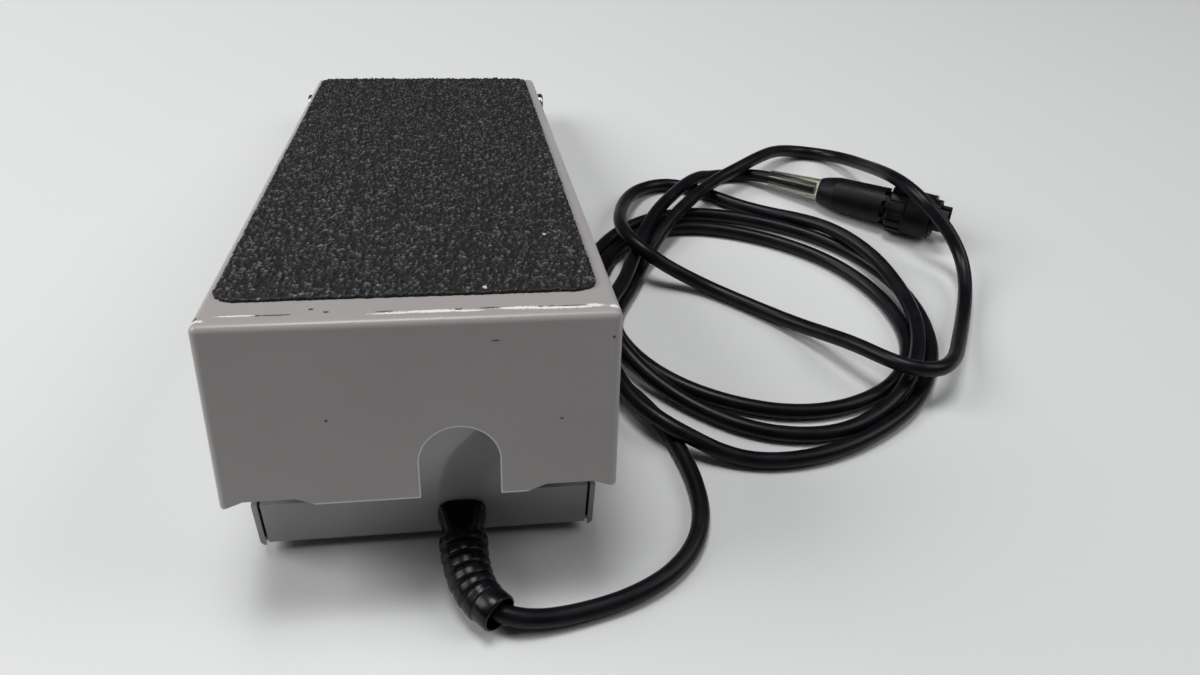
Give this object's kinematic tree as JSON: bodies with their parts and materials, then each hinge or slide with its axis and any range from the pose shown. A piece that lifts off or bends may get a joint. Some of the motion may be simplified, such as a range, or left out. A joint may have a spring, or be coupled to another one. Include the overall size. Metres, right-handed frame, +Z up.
{
  "type": "variable speed foot pedal",
  "caption": "Hinged box foot pedal in grey folded sheet metal with a black grit tread, a ribbed cord strain relief, and a coiled black cord ending in a round multi-pin plug.",
  "frame": {"origin": "on the floor under the middle of the pedal without its cord, at the bottom of its bounding box", "axes": "+Y from the cord end towards the hinged heel end, +X to the right seen from the cord end, +Z up"},
  "size_m": [0.2747, 0.2888, 0.0873],
  "materials": {
    "grey_paint": "semi-gloss",
    "grit_sheet": "coarse mineral grit",
    "black_rubber": "matte",
    "zinc_steel": "zinc plated",
    "nickel_steel": "nickel plated",
    "spring_steel": "oiled",
    "rivet_aluminium": "satin",
    "brass_gear": "machined",
    "tinned_brass": "tinned",
    "white_nylon": "natural",
    "black_nylon": "satin",
    "black_vinyl": "soft gloss",
    "cord_jacket": "satin",
    "clear_vinyl": "clear, slightly yellowed",
    "wire_insulation": "satin"
  },
  "bodies": {
    "base": {"base_tray": "grey_paint", "rubber_feet": "black_rubber", "rest_stop": "black_rubber", "foot_screws": "zinc_steel", "foot_nuts": "zinc_steel", "pivot_screws": "nickel_steel", "pivot_bushes": "white_nylon", "pivot_nuts": "zinc_steel", "pot_body": "zinc_steel", "pot_lugs": "tinned_brass", "pot_washer": "zinc_steel", "pot_nut": "brass_gear", "pot_bracket": "zinc_steel", "bracket_screws": "zinc_steel", "bracket_nuts": "zinc_steel", "spring_seat": "white_nylon", "return_spring": "spring_steel", "strain_relief": "black_vinyl", "lead_wires": "wire_insulation", "cord_lead": "cord_jacket", "cord_coil": "cord_jacket", "cord_tail": "cord_jacket", "cord_plug_end": "cord_jacket", "clear_sleeve": "clear_vinyl", "plug_backshell": "black_nylon", "plug_shell": "black_nylon", "plug_contacts": "tinned_brass"},
    "cover": {"cover_shell": "grey_paint", "grip_pad": "grit_sheet", "rack_bracket": "zinc_steel", "rack_sector": "white_nylon", "rack_rivets": "rivet_aluminium", "spring_cup": "white_nylon"},
    "rotor": {"pinion": "brass_gear", "pot_shaft": "nickel_steel", "pinion_setscrew": "zinc_steel"},
    "ring": {"coupling_ring": "black_nylon"}
  },
  "joints": [
    {"name": "pedal_hinge", "type": "hinge", "parent": "base", "child": "cover", "pos_m": [0, 0.11717, 0.01652], "axis": [1, 0, 0], "range_deg": [0, 3.7], "stiffness_Nm_per_rad": 30, "springref_deg": -4.58, "deforming": ["return_spring"]},
    {"name": "pot_spin", "type": "hinge", "parent": "base", "child": "rotor", "pos_m": [0, -0.0668, 0.034], "axis": [1, 0, 0], "range_deg": [-118.4, 0]},
    {"name": "ring_turn", "type": "hinge", "parent": "base", "child": "ring", "pos_m": [0.203, 0.0295, 0.0111], "axis": [0.8009, -0.5926, 0.0854], "range_deg": [0, 100]}
  ],
  "couplings": [
    {"joint": "pot_spin", "follows": "pedal_hinge", "ratio": -32}
  ]
}
